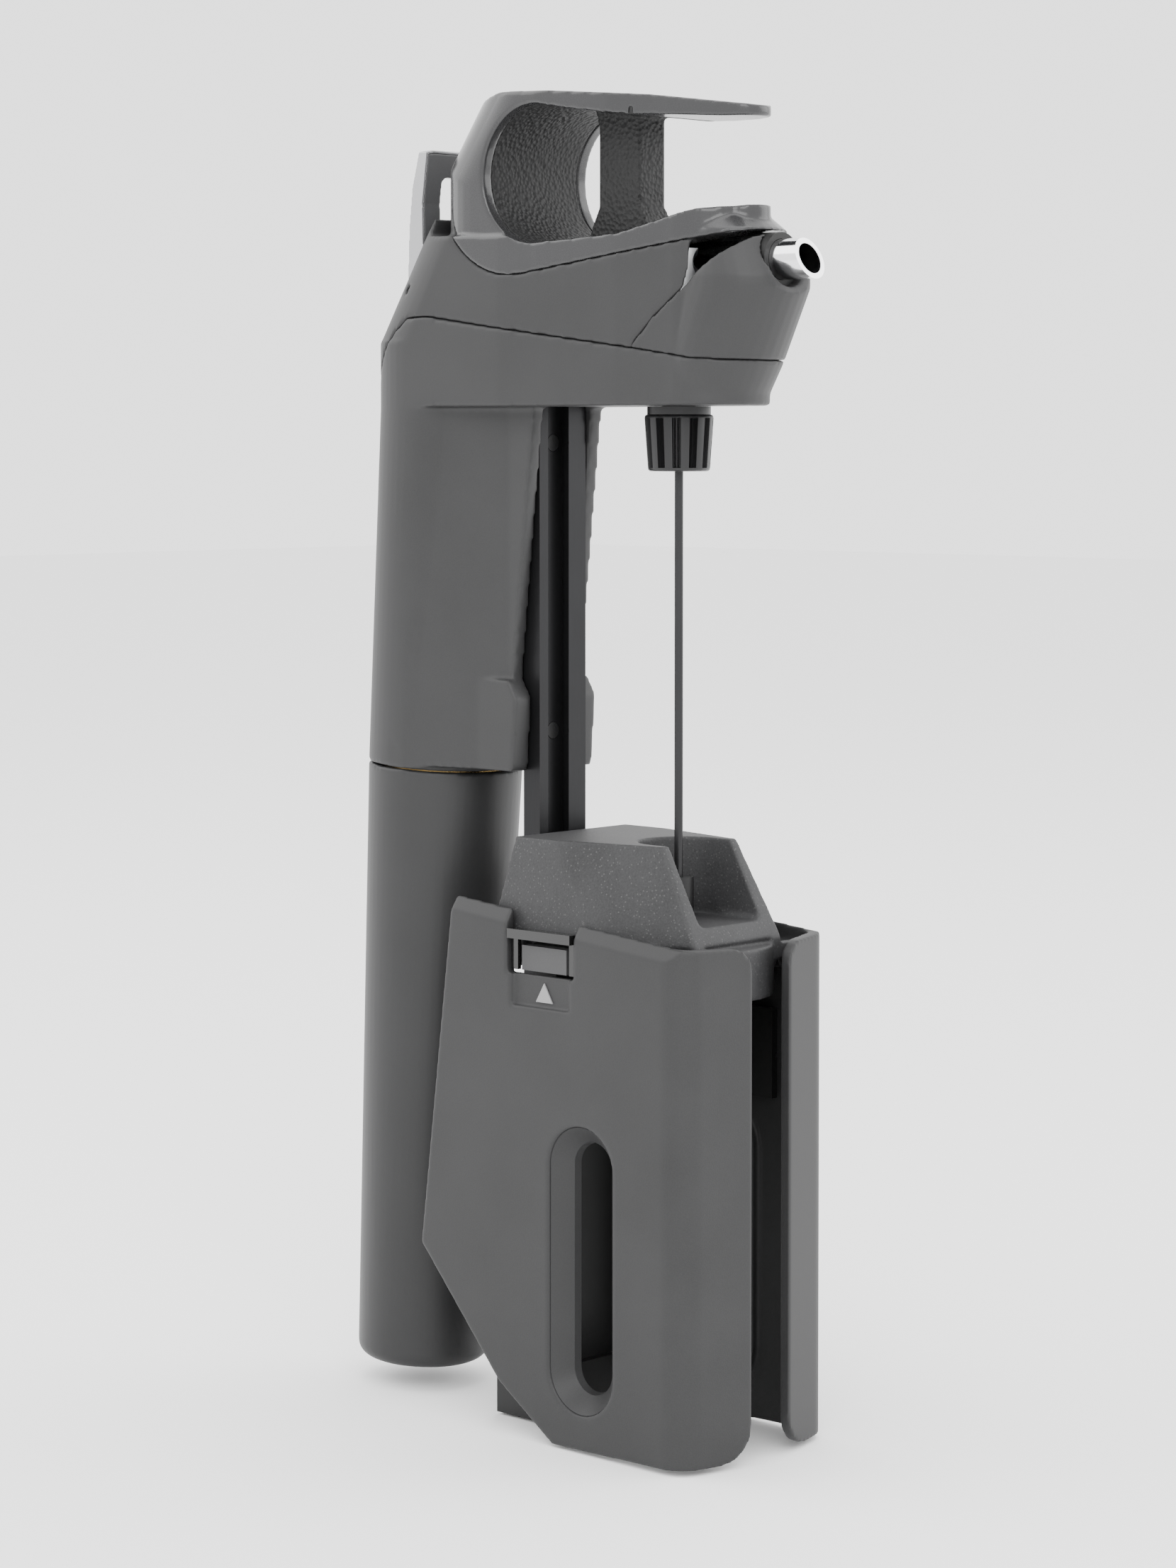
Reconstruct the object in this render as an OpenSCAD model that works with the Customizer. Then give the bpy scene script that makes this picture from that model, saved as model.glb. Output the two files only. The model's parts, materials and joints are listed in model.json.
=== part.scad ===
// Argon wine pourer: a clamp sits on a bottle's neck, and a handle slides down on it, pushes a hollow needle
// through the cork, and pours through a spout. Z is up, the spout points to -Y, and the origin is the centre
// of the bottle's mouth, on the needle's axis. The handle is drawn raised.

/* [Handle] */
// Distance from the needle to the cylinder's axis, at the underside of the arm
needle_reach = 54.5; // [48:0.5:66]
// Height of the arm's underside above the bottle's mouth, handle raised
underside_z = 96; // [80:1:120]
// Radius of the cylinder at the arm
cylinder_r = 14.5; // [13.5:0.1:17.4]
// Backward lean of the cylinder, in degrees
cylinder_lean = 3.2; // [0:0.1:4]
// Length of the fixed sleeve above the cup
sleeve_length = 66; // [56:1:80]
// Wall of the housings
housing_wall = 2; // [1.6:0.1:2.4]
// Half width of the arm beside the needle
arm_half_width = 11.9; // [10.5:0.1:13]

/* [Grip] */
// Radius of the finger opening's round end
opening_r = 12.2; // [10:0.1:12.6]
// Half width of the loop
loop_half_width = 13.6; // [12:0.1:15]
// Half width of the post that carries the fin
post_half_width = 3.5; // [2.5:0.1:5]
// Thickness of the soft liner
liner_thickness = 1.6; // [1.2:0.1:2]

/* [Trigger] */
// Half width of the trigger
trigger_half_width = 9; // [7:0.1:9.6]
// Height of the trigger's top above the arm's underside
trigger_top = 47; // [42:0.5:48]
// Half width of the window through the trigger
window_half_width = 4.3; // [3:0.1:5.5]

/* [Needle and spout] */
// Outer diameter of the needle
needle_d = 1.5; // [1.3:0.05:2]
// Height of the needle's grip
grip_height = 9.9; // [8:0.1:12]
// Radius of the needle's grip at its top
grip_r = 6.1; // [5.4:0.1:7]
// Number of flutes around the needle's grip
grip_flutes = 12; // [8:1:16]
// Outer diameter of the spout
spout_d = 7; // [6:0.1:8]
// How far the spout's tip stands in front of the needle
spout_reach = 31.5; // [29:0.5:36]

/* [Gas supply] */
// Length of the capsule cup
cup_length = 112; // [100:1:134]
// Wall of the capsule cup
cup_wall = 1.8; // [1.4:0.1:2.1]
// Radius of the gas capsule
capsule_r = 9.4; // [8:0.1:9.6]

/* [Rail] */
// Half width of the rail
rail_half_width = 6; // [5.6:0.1:6.4]
// Depth of the rail, front to back
rail_depth = 4; // [3.6:0.1:4.8]
// Length of rail that stays in the clamp with the handle raised
rail_engaged = 34; // [26:1:40]
// Gap between the rail's groove and the clamp's tongue
slide_gap = 0.15; // [0.1:0.01:0.2]

/* [Clamp] */
// Half width of the clamp over its jaws
clamp_half_width = 19.5; // [18.8:0.1:23.4]
// Height of the clamp's head above the bottle's mouth
head_top = 19.7; // [17:0.1:23]
// Radius of the socket for the bottle's mouth
socket_r = 15.6; // [15.2:0.05:15.8]
// Depth of the socket
socket_depth = 7; // [5:0.5:9]
// How far the jaws reach below the bottle's mouth
jaw_drop = 86; // [72:1:100]
// Wall of the jaws
jaw_wall = 2.1; // [1.8:0.1:2.4]
// Half width of the gap between the jaws, at the front
front_gap = 4.9; // [4:0.1:7]
// Width of the slot in each jaw
slot_width = 15; // [12:0.5:17]
// Height of the slot in each jaw
slot_height = 50.5; // [40:0.5:52]

/* [Hidden] */
$fn = 48;

eps = 0.01;
gap = 0.1;                       // between pieces that slide or turn in each other
seat_gap = 0.05;                 // between pieces that are pressed or pushed together
big = 400;

// Handle: heights are above the arm's underside
nose_r = 11;
nose_low_y = -6.6;               // centre of the nose's curve at the underside
nose_mid_y = -9.8;               // and at the seam
nose_high_y = -15.5;             // and at the spout
nose_seam_h = 7.3;
spout_h = 24.8;
nose_top_h = 34;
facet_tilt = 17;
facet_y = -24.2;                 // flat round the spout, on the spout's axis
loop_back_y = needle_reach - 4.5;
opening_y = needle_reach - 31.7; // centre of the finger opening's round end
opening_h = 41;
opening_slope = 6;               // how the floor and the ceiling close towards the front
bezel_r = opening_r + 5.5;
bezel_y = opening_y + 5.2;
shoulder_h = 28.5;
post_front = 6.4;
post_back = 15.9;
sleeve_bore = cylinder_r - housing_wall;

// Cylinder: heights are along its leaning axis, from the underside
seam_r = cylinder_r - 0.2;
cup_bottom_r = cylinder_r - 2.2;
cup_top = -sleeve_length - 0.2;
cup_bottom = cup_top - cup_length;
neck_lap = 15;                   // threaded neck inside the cup
capsule_top = cup_top - 12;
capsule_length = 88;
capsule_floor = capsule_top - capsule_length;
thread_pitch = 1.5;

// Trigger
pivot_y = needle_reach + 1;
pivot_h = 17.5;
pin_r = 1.25;
hub_r = 3.2;
valve_y = pivot_y - 7;
valve_top_h = 9;
stem_top_h = 15.8;

// Rail and slide
rail_y = needle_reach - 26.4;    // front face of the rail
rail_top = 4;
rail_bottom = head_top - rail_engaged - underside_z;
groove_left = -3.8;
groove_right = 1.55;
groove_mouth = 1.1;
groove_depth = 2.4;
undercut = 0.8;
wing_inner = rail_half_width + 0.3;
wing_outer = wing_inner + 2.7;
lug_outer = wing_inner + 4.2;

// Clamp
back_y = rail_y - 0.3;           // back of the head and of the backbone
pin_x = clamp_half_width - 4.2;
pin_z = -1;
knuckle_r = 2.2;
ear_r = 1.8;
ear_root = 11.4;                 // half width where the ears join the head
hinge_pin_r = 1;
jaw_front = -20;
jaw_top = 3;                     // at the front
jaw_rise = 5.6;                  // how much higher the back corner is
jaw_back_top = rail_y + 9;
jaw_back_wide = rail_y + 17;
jaw_inner = clamp_half_width - jaw_wall;
slot_y = 5.5;
slot_bottom = jaw_drop - 6.3;
notch_front = 7.3;
notch_back = 23.3;
notch_floor = -3.8;
recess_floor = -9.4;
pocket_r = 8;
pocket_y = -1.2;
pocket_floor = 6;
guide_top = 13.4;
guide_r = 2.2;
seat_r = socket_r - 1.05;
seat_recess = 1.5;
head_skirt = -2;
ear_top = 1.9;
backbone_half_width = 7.5;
backbone_front = rail_y - 5.5;
foot_height = 10;
needle_tip_z = 2;

function arc(y, z, r, from, to, steps = 16) =
    [for (i = [0:steps]) let (a = from + (to - from) * i / steps) [y + r * cos(a), z + r * sin(a)]];
function mirrored(points) = [for (i = [len(points) - 1:-1:0]) [-points[i][0], points[i][1]]];

// Places
module at_handle() { translate([0, 0, underside_z]) children(); }
module at_cylinder() { translate([0, needle_reach, underside_z]) rotate([cylinder_lean, 0, 0]) children(); }
module on_side(side) { mirror([side > 0 ? 1 : 0, 0, 0]) children(); }

// A side view, given as [y, z] points, drawn out to both sides
module side_prism(points, half_width = 60) {
    rotate([90, 0, 90]) linear_extrude(2 * half_width, center = true) polygon(points);
}
module side_slab(points, x0, x1) {
    translate([x0, 0, 0]) rotate([90, 0, 90]) linear_extrude(x1 - x0) polygon(points);
}
module along_y(y0, y1, r) { translate([0, y0, 0]) rotate([-90, 0, 0]) cylinder(h = y1 - y0, r = r); }
module along_x(x0, x1, r) { translate([x0, 0, 0]) rotate([0, 90, 0]) cylinder(h = x1 - x0, r = r); }
module tube(h, outer, inner) {
    difference() {
        cylinder(h = h, r = outer);
        translate([0, 0, -1]) cylinder(h = h + 2, r = inner);
    }
}
module o_ring(r, wire) { rotate_extrude() translate([r, 0]) circle(wire, $fn = 24); }

// A round wire wound up the Z axis
coil_sides = 8;
coil_steps = 14;
function coil_ring(r, wire, rise, turns, i) =
    let (count = round(turns * coil_steps), a = 360 * turns * i / count, z = rise * i / count)
    [for (k = [0:coil_sides - 1]) let (b = 360 * k / coil_sides)
        [(r + wire * cos(b)) * cos(a), (r + wire * cos(b)) * sin(a), z + wire * sin(b)]];
module coil(r, wire, rise, turns) {
    count = round(turns * coil_steps);
    points = [for (i = [0:count]) each coil_ring(r, wire, rise, turns, i)];
    sides = [for (i = [0:count - 1], k = [0:coil_sides - 1])
        let (n = (k + 1) % coil_sides)
        [i * coil_sides + k, i * coil_sides + n, (i + 1) * coil_sides + n, (i + 1) * coil_sides + k]];
    start = [for (k = [coil_sides - 1:-1:0]) k];
    end = [for (k = [0:coil_sides - 1]) count * coil_sides + k];
    polyhedron(points, concat([start], [for (f = sides) [f[3], f[2], f[1], f[0]]], [end]));
}

// Outlines of the handle, seen from the side, in [y, height above the underside]
seam_line = [[-40, 6.9], [-12, 8.1], [0, 9.9], [needle_reach - 18.5, 14.6], [needle_reach - 5.5, 16.4],
    [needle_reach - 0.5, 16.1], [needle_reach + 3.5, 13.6], [needle_reach + 7, 9.4],
    [needle_reach + 10, 5.5], [needle_reach + 18, 2]];
below_seam = concat(seam_line, [[needle_reach + 18, -20], [-40, -20]]);
shoulder_line = [[needle_reach + 14.6, 0], [needle_reach + 14.2, 4.5], [needle_reach + 12.8, 9.5],
    [needle_reach + 9, 18], [needle_reach + 4.5, 24.5], [needle_reach + 0.5, shoulder_h],
    [loop_back_y + 0.6, 33], [loop_back_y, 37]];
loop_top = [[loop_back_y - 0.5, 41], [loop_back_y - 1.8, 46], [loop_back_y - 4, 49.6], [loop_back_y - 7, 52.6],
    [loop_back_y - 11.5, 54.8], [needle_reach - 23, 55.8], [19.2, 55.3], [-2, 53.5], [-19.5, 51.2]];
nose_region = [[1.2, 10.1], [-3.7, 15.2], [-11.7, 21.6], [-19.5, 27.3], [-22.6, 30], [-24, 31.2], [-40, 31.2],
    [-40, 6.9], [-12, 8.1], [0, 9.9]];
arm_back = concat([[-30, 0]], shoulder_line, [[loop_back_y, 31], [opening_y + 4, opening_h - 11], [-30, 36]]);

function opening(grow = 0) = concat(
    arc(opening_y, opening_h, opening_r + grow, 90 + opening_slope, -90 - opening_slope, 24),
    [[4, opening_h - 11.2 - grow], [-12, opening_h - 7.4 - grow], [-22, opening_h - 6.4 - grow],
     [-40, opening_h - 4 - grow], [-40, opening_h + 8.2 + grow], [-14, opening_h + 8.4 + grow],
     [2.5, opening_h + 9.3 + grow], [opening_y - 9, opening_h + 10.8 + grow]]);
bezel = concat(
    arc(bezel_y, opening_h, bezel_r, 100, -97.6, 24),
    [[-40, opening_h - bezel_r + (bezel_y + 40) * tan(7.6)], [-40, 70]]);

function arm_plan(inset) =
    let (half = concat(
        arc(0, nose_low_y, arm_half_width - 1 - inset, -90, 0, 10),
        [[arm_half_width + 0.3 - inset, 4], [cylinder_r - 0.3 - inset, needle_reach - 24]],
        arc(0, needle_reach, cylinder_r - inset, 0, 90, 12)))
    concat(half, mirrored(half));
loop_plan = let (half = concat(
        arc(0, -14.7, 4.8, -90, -20, 8),
        [[9.4, -6], [12.2, 6], [loop_half_width, 22], [loop_half_width, loop_back_y - 12]],
        arc(loop_half_width - 12, loop_back_y - 12, 12, 0, 90, 10)))
    concat(half, mirrored(half));

// The rounded nose, which leans forward on its way up
module nose_form() {
    at_handle() difference() {
        hull($fn = 32) {
            translate([0, nose_low_y, 0]) cylinder(h = eps, r = nose_r - 1);
            translate([0, nose_mid_y, nose_seam_h]) cylinder(h = eps, r = nose_r - 0.2);
            translate([0, nose_high_y, 20]) cylinder(h = 2, r = nose_r);
            translate([0, -12.5, 30]) cylinder(h = eps, r = nose_r - 1.8);
            translate([0, -10, nose_top_h - eps]) cylinder(h = eps, r = nose_r - 4.5);
        }
        translate([0, facet_y, spout_h]) rotate([-facet_tilt, 0, 0])
            translate([-big / 2, -big, -big / 2]) cube(big);
    }
}
// All in front of a round back that leans forward going up, from the point [y, h] on its axis
module round_back(y, h, lean, r, floor_h) {
    at_handle() {
        translate([-60, -100, -60]) cube([120, 200, 60 + floor_h]);
        translate([0, y, h]) rotate([lean, 0, 0]) {
            translate([0, 0, -40]) cylinder(h = 100, r = r);
            translate([-60, -150, -40]) cube([120, 150, 100]);
        }
    }
}
module arm_form() {
    intersection() {
        at_handle() side_prism(arm_back);
        at_handle() translate([0, 0, -1]) linear_extrude(big) polygon(arm_plan(0));
        round_back(needle_reach - 2.15, 12.1, 32.2, cylinder_r, 12);
    }
}
module loop_form() {
    intersection() {
        at_handle() side_prism(concat(
            [[-19.5, 20], [loop_back_y, 26], [loop_back_y, 37]], loop_top));
        at_handle() linear_extrude(big) polygon(loop_plan);
        round_back(loop_back_y - 17.8, 46.8, 36, loop_half_width, 30);
    }
}
module cylinder_form() {
    at_cylinder() translate([0, 0, -sleeve_length]) cylinder(h = sleeve_length + 8, r1 = seam_r, r2 = cylinder_r);
}
module handle_cavity() {
    difference() {
        intersection() {
            at_handle() side_prism([[-14, 2.2], [-19, 9], [-20.5, 24], [-18, 29], [opening_y + 12, 23.3],
                [loop_back_y - 1, 24.4], [needle_reach + 1.5, 21.8], [needle_reach + 6, 14],
                [needle_reach + 11.6, 2.2]]);
            at_handle() linear_extrude(60) polygon(arm_plan(housing_wall));
        }
        // the nose narrows going up, and so does the hollow inside it
        at_handle() for (x = [-30, 6.2]) translate([x, -40, 19]) cube([23.8, 34, 30]);
    }
    at_cylinder() translate([0, 0, -sleeve_length - 1]) cylinder(h = sleeve_length + 6, r = sleeve_bore);
}
module trigger_slot() {
    at_handle() translate([-trigger_half_width - 0.4, needle_reach - 2, 14])
        cube([2 * trigger_half_width + 0.8, 6.7, 20]);
}
screw_places = [[-7, -7], [7, -7], [-9.2, 19], [9.2, 19]];
screw_r = 0.85;
post_r = 2.2;
module trigger_bore(r) {
    at_handle() translate([0, pivot_y, pivot_h])
        along_x(-trigger_half_width - 2.7, trigger_half_width + 2.7, r);
}

// Wings beside the rail and the lugs at their feet
function axis_y(h) = needle_reach - h * tan(cylinder_lean);
wing_drop = sleeve_length - 16;
wing_side = [[rail_y - 1.5, 1], [rail_y + 4, -wing_drop], [axis_y(-wing_drop) - 11, -wing_drop],
    [axis_y(0) - 11, 1]];
lug_side = [[rail_y + 3.6, -wing_drop + 1], [rail_y + 1.6, -wing_drop - 2.5], [rail_y + 2.6, -sleeve_length + 0.6],
    [axis_y(-sleeve_length) - 9.6, -sleeve_length + 0.6], [axis_y(-wing_drop) - 9.6, -wing_drop + 1]];
module wings() {
    for (side = [-1, 1]) at_handle() on_side(side) {
        side_slab(wing_side, -wing_outer, -wing_inner);
        side_slab(lug_side, -lug_outer, -wing_inner);
    }
}
// Ribs behind the rail, which its screws go into
rib_heights = [-9, -sleeve_length + 5];
module rail_ribs() {
    for (h = rib_heights) at_handle()
        translate([-wing_inner - 1, rail_y + rail_depth, h])
            cube([2 * wing_inner + 2, axis_y(h) - cylinder_r + 2 - rail_y - rail_depth, 5]);
}
// The sleeve narrows towards the rail
flank_front = rail_y + 5.4;
module flanks() {
    at_handle() translate([0, 0, -sleeve_length + 0.6]) difference() {
        linear_extrude(sleeve_length + 0.4)
            polygon([[-wing_outer - 0.2, flank_front], [wing_outer + 0.2, flank_front],
                [cylinder_r - 0.4, needle_reach + 1], [-cylinder_r + 0.4, needle_reach + 1]]);
        translate([-wing_outer + 2.2, flank_front + housing_wall, 6])
            cube([2 * wing_outer - 4.4, 12, sleeve_length - 12]);
    }
}

module lower_housing() {
    color("dimgray") {
        difference() {
            union() {
                intersection() {
                    union() {
                        arm_form();
                        nose_form();
                    }
                    at_handle() side_prism(below_seam);
                }
                intersection() {
                    cylinder_form();
                    at_handle() translate([0, 0, -140]) side_prism([for (p = below_seam) [p[0], p[1] < 0 ? 0 : p[1] + 140]]);
                }
                wings();
                rail_ribs();
                flanks();
            }
            handle_cavity();
            at_handle() {
                translate([0, 0, -1]) cylinder(h = 6, r = 3.4);
                translate([-rail_half_width - seat_gap, rail_y - seat_gap, -12])
                    cube([2 * rail_half_width + 2 * seat_gap, rail_depth + 2 * seat_gap, 20]);
                for (p = screw_places) translate([p[0], p[1], -1]) {
                    cylinder(h = 6, r = screw_r + gap);
                    cylinder(h = 2.6, r = 2);
                }
                for (h = rib_heights) translate([0, rail_y, h + 2.5]) along_y(0, 12, screw_r);
            }
        }
        intersection() {
            screw_posts();
            at_handle() side_prism(below_seam);
        }
    }
}
module spout_hole() { at_handle() translate([0, 0, spout_h]) along_y(-40, 0, spout_d / 2 + 1.2); }
// Posts that the housing screws run in, from the floor up
module screw_posts() {
    at_handle() for (p = screw_places) translate([p[0], p[1], 2]) difference() {
        cylinder(h = 21.5, r = post_r);
        translate([0, 0, -1]) cylinder(h = 15.5, r = screw_r + seat_gap);
    }
}
module upper_housing() {
    color("gray") {
        difference() {
            union() {
                difference() {
                    union() {
                        arm_form();
                        loop_form();
                    }
                    handle_cavity();
                }
                intersection() {
                    at_handle() for (side = [-1, 1]) on_side(side) translate([0, pivot_y, pivot_h])
                        along_x(-cylinder_r + 1, -trigger_half_width - 0.5, 3);
                    arm_form();
                }
            }
            at_handle() side_prism(below_seam);
            at_handle() side_prism(nose_region);
            at_handle() side_prism(bezel);
            trigger_slot();
            trigger_bore(pin_r + seat_gap);
            nose_form();
        }
        difference() {
            intersection() {
                screw_posts();
                at_handle() side_prism([[10, 10], [30, 10], [30, 30], [10, 30]]);
            }
            at_handle() side_prism(below_seam);
            at_handle() side_prism(bezel);
        }
    }
}
module nose_cover() {
    color("gray") {
        difference() {
            intersection() {
                union() {
                    arm_form();
                    nose_form();
                }
                at_handle() side_prism(nose_region);
            }
            at_handle() side_prism(bezel);
            handle_cavity();
            spout_hole();
        }
        intersection() {
            screw_posts();
            at_handle() side_prism(nose_region);
        }
    }
}
// The liner stops a little in front of the post
module liner_reach() { at_handle() translate([-60, 1, 0]) cube([120, 80, 80]); }
module grip() {
    color("darkslategray") difference() {
        intersection() {
            union() {
                arm_form();
                loop_form();
                nose_form();
            }
            at_handle() side_prism(bezel);
        }
        at_handle() side_prism(opening());
        intersection() {
            at_handle() side_prism(opening(liner_thickness), loop_half_width - 2.6);
            liner_reach();
        }
        spout_hole();
    }
}
post_side = concat(
    [[post_front, opening_h + 20], [post_front, opening_h + 9]],
    [[post_front, opening_h - 6], [post_front - 1.5, opening_h - 8.5], [post_front - 5, opening_h - 20]],
    [[post_back + 6, opening_h - 20], [post_back + 1.5, opening_h - 9], [post_back, opening_h - 6],
     [post_back, opening_h + 8], [post_back + 3, opening_h + 20]]);
module grip_liner() {
    color("black") at_handle() difference() {
        union() {
            difference() {
                side_prism(opening(liner_thickness), loop_half_width - 2.6);
                side_prism(opening());
            }
            intersection() {
                side_prism(opening(liner_thickness), loop_half_width - 2.6);
                side_prism(post_side, post_half_width);
            }
        }
        translate([-30, -60, 20]) cube([60, 61, 60]);
        side_prism([[-20, 70], [-20, 45], [-2, 52.4], [18, 54.9], [loop_back_y - 14, 56], [50, 70]]);
    }
}
module rail_groove(extra) {
    at_handle() translate([0, rail_y, rail_bottom - 20]) linear_extrude(big) {
        translate([groove_left + extra, -2]) square([groove_right - groove_left - 2 * extra, 2 + groove_mouth + 2 * extra]);
        translate([groove_left - undercut + extra, groove_mouth + extra])
            square([groove_right - groove_left + 2 * undercut - 2 * extra, groove_depth - groove_mouth - 2 * extra]);
    }
}
module rail() {
    color("#2a2a2c") difference() {
        at_handle() translate([-rail_half_width, rail_y, rail_bottom])
            cube([2 * rail_half_width, rail_depth, rail_top - rail_bottom]);
        rail_groove(0);
        at_handle() for (h = rib_heights) translate([0, rail_y, h + 2.5]) {
            along_y(0, 10, screw_r);
            along_y(0, groove_depth + 0.7, 1.6);
        }
    }
}
module rail_screws() {
    color("silver") at_handle() for (h = rib_heights) translate([0, rail_y + groove_depth, h + 2.5]) {
        along_y(0, 8.5, screw_r - seat_gap);
        along_y(0, 0.65, 1.5);
    }
}
module housing_screws() {
    color("silver") at_handle() for (p = screw_places) translate([p[0], p[1], 0.1]) {
        difference() {
            cylinder(h = 1.45, r = 1.9);
            translate([0, 0, -1]) cylinder(h = 1.8, r = 0.8, $fn = 6);
        }
        translate([0, 0, 1]) cylinder(h = 15, r = screw_r);
    }
}

// Gas supply, along the cylinder's leaning axis
thread_r = 11.7;
neck_bore = 9.9;
neck_top = -sleeve_length + 14;
module threaded_neck() {
    color("goldenrod") at_cylinder() difference() {
        union() {
            translate([0, 0, -sleeve_length + 0.5]) cylinder(h = 13.5, r = sleeve_bore - seat_gap);
            translate([0, 0, cup_top - neck_lap]) cylinder(h = neck_lap + 2, r = thread_r - 0.7);
            for (i = [0:4]) translate([0, 0, cup_top - neck_lap + 2 + 2 * i * thread_pitch])
                cylinder(h = thread_pitch / 2, r = thread_r);
        }
        translate([0, 0, -sleeve_length - 40]) cylinder(h = 80, r = neck_bore);
    }
}
nozzle_bottom = capsule_top + 2;
chamber_floor = -sleeve_length + 36;
chamber_top = -8;
module regulator_body() {
    color("lightsteelblue") at_cylinder() difference() {
        union() {
            translate([0, 0, neck_top]) cylinder(h = -neck_top + 0.5, r = sleeve_bore - seat_gap);
            translate([0, 0, nozzle_bottom]) cylinder(h = neck_top - nozzle_bottom + 1, r = 6);
        }
        translate([0, 0, chamber_floor]) cylinder(h = chamber_top - chamber_floor, r = 7.5);
        translate([0, 0, nozzle_bottom - 1]) cylinder(h = 12, r = 1.05);
    }
}
piston_height = 6;
module regulator_piston() {
    color("silver") at_cylinder() translate([0, 0, chamber_floor + 1.2]) {
        cylinder(h = piston_height, r = 7.5 - gap);
        cylinder(h = piston_height + 3, r = 3);
    }
}
module regulator_spring() {
    wire = 0.6;
    floor_z = chamber_floor + 1.2 + piston_height + wire + 0.02;
    color("silver") at_cylinder() translate([0, 0, floor_z])
        coil(5.2, wire, chamber_top - floor_z - wire - gap, 4);
}
module piercing_pin() {
    color("silver") at_cylinder() {
        translate([0, 0, capsule_top - 2.5]) cylinder(h = 10, r = 1);
        translate([0, 0, capsule_top - 4]) cylinder(h = 1.5, r1 = 0.1, r2 = 1, $fn = 24);
    }
}
module capsule_seal() { color("black") at_cylinder() translate([0, 0, capsule_top + 0.9]) o_ring(2.6, 0.8); }
module valve_body() {
    color("goldenrod") at_handle() translate([0, valve_y, 1.8]) difference() {
        cylinder(h = valve_top_h - 1.8, r = 4.5);
        translate([0, 0, 1.4]) cylinder(h = 10, r = 1.5 + gap);
        translate([0, 0, 4.5]) along_y(-6, 0, 1.5 + seat_gap);
    }
}
module valve_stem() {
    color("silver") at_handle() translate([0, valve_y, 0]) {
        translate([0, 0, 5.2]) cylinder(h = 10, r = 1.5);
        translate([0, 0, stem_top_h - 1.2]) cylinder(h = 1.2, r = 3.4);
    }
}
module valve_spring() {
    wire = 0.35;
    color("silver") at_handle() translate([0, valve_y, valve_top_h + wire + 0.02])
        coil(2.5, wire, stem_top_h - 1.2 - valve_top_h - 2 * wire - 0.04, 4);
}
manifold_r = 7.2;
module gas_tube() {
    color("peru") at_handle() translate([0, 0, 6.3]) difference() {
        along_y(manifold_r - 2.5, valve_y - 2.5, 1.5);
        along_y(0, 60, 0.8);
    }
}
module manifold() {
    color("lightsteelblue") at_handle() difference() {
        translate([0, 0, 2.2]) cylinder(h = 25, r = manifold_r);
        translate([0, 0, 1]) cylinder(h = 10, r = 3 + gap);
        translate([0, 0, 10]) cylinder(h = 16, r = 1.3);
        translate([0, 0, 6.3]) along_y(3, 12, 1.5 + seat_gap);
        translate([0, 0, spout_h]) along_y(-12, -3, spout_d / 2 + seat_gap);
        for (p = screw_places) translate([p[0], p[1], 0]) cylinder(h = 60, r = 2.4);
        side_prism(bezel);
    }
}
module spout() {
    wall = 0.9;
    color("silver") at_handle() translate([0, 0, spout_h]) difference() {
        along_y(-spout_reach, -3, spout_d / 2);
        along_y(-spout_reach - 1, -4, spout_d / 2 - wall);
        translate([0, -spout_reach - 8.9, 0]) rotate([-22, 0, 0]) translate([-10, -10, -20]) cube([20, 20, 40]);
    }
}
module spout_seal() {
    color("black") at_handle() translate([0, 0, spout_h]) difference() {
        along_y(-23.5, -17, spout_d / 2 + 1.15);
        along_y(-30, 0, spout_d / 2 + seat_gap);
    }
}

// Trigger, in the handle's side view
trigger_front = [[pivot_y - 0.6, 14.5], [pivot_y - 0.6, 29.8], [pivot_y - 0.4, 37.3], [pivot_y - 1.8, 48]];
trigger_back = [[pivot_y, 48], [pivot_y + 2.1, 40.2], [pivot_y + 2.9, 33], [pivot_y + 3.2, 25.9],
    [pivot_y + 3.2, 14.5]];
module trigger_plan(inset) {
    at_handle() translate([0, 20 + pivot_y, 0]) rotate([90, 0, 0]) linear_extrude(40) difference() {
        intersection() {
            translate([-trigger_half_width + inset, 10])
                square([2 * trigger_half_width - 2 * inset, trigger_top - 10 - inset]);
            translate([0, trigger_top - 42]) circle(42 - inset + 0.6, $fn = 96);
        }
        translate([-window_half_width, 28]) square([2 * window_half_width, trigger_top - 6.3 - 28]);
        translate([-window_half_width + 1.5, 28]) square([2 * window_half_width - 3, trigger_top - 4.8 - 28]);
        for (side = [-1, 1]) translate([side * (window_half_width - 1.5), trigger_top - 6.3]) circle(1.5, $fn = 24);
    }
}
inlay = 1.1;
module trigger_frame() {
    color("gray") difference() {
        union() {
            intersection() {
                trigger_plan(0.6);
                at_handle() side_prism(concat(trigger_front,
                    [for (i = [len(trigger_front) - 1:-1:0]) [trigger_front[i][0] + inlay, trigger_front[i][1]]]));
            }
            at_handle() {
                translate([0, pivot_y, pivot_h]) along_x(-trigger_half_width, trigger_half_width, hub_r);
                translate([-3, valve_y - 2, stem_top_h + gap]) cube([6, 6, 3]);
            }
        }
        trigger_bore(pin_r + gap);
    }
}
module trigger_cover() {
    color("silver") difference() {
        intersection() {
            trigger_plan(0);
            at_handle() side_prism(concat(trigger_front, trigger_back));
        }
        intersection() {
            trigger_plan(0.55);
            at_handle() side_prism(concat([for (p = trigger_front) [p[0] - 2, p[1]]],
                [for (i = [len(trigger_front) - 1:-1:0]) [trigger_front[i][0] + inlay + 0.02, trigger_front[i][1]]]));
        }
        at_handle() translate([0, pivot_y, pivot_h]) along_x(-20, 20, hub_r + seat_gap);
        at_handle() translate([-20, pivot_y - 10, 0]) cube([40, 30, pivot_h - 0.5]);
    }
}
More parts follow.
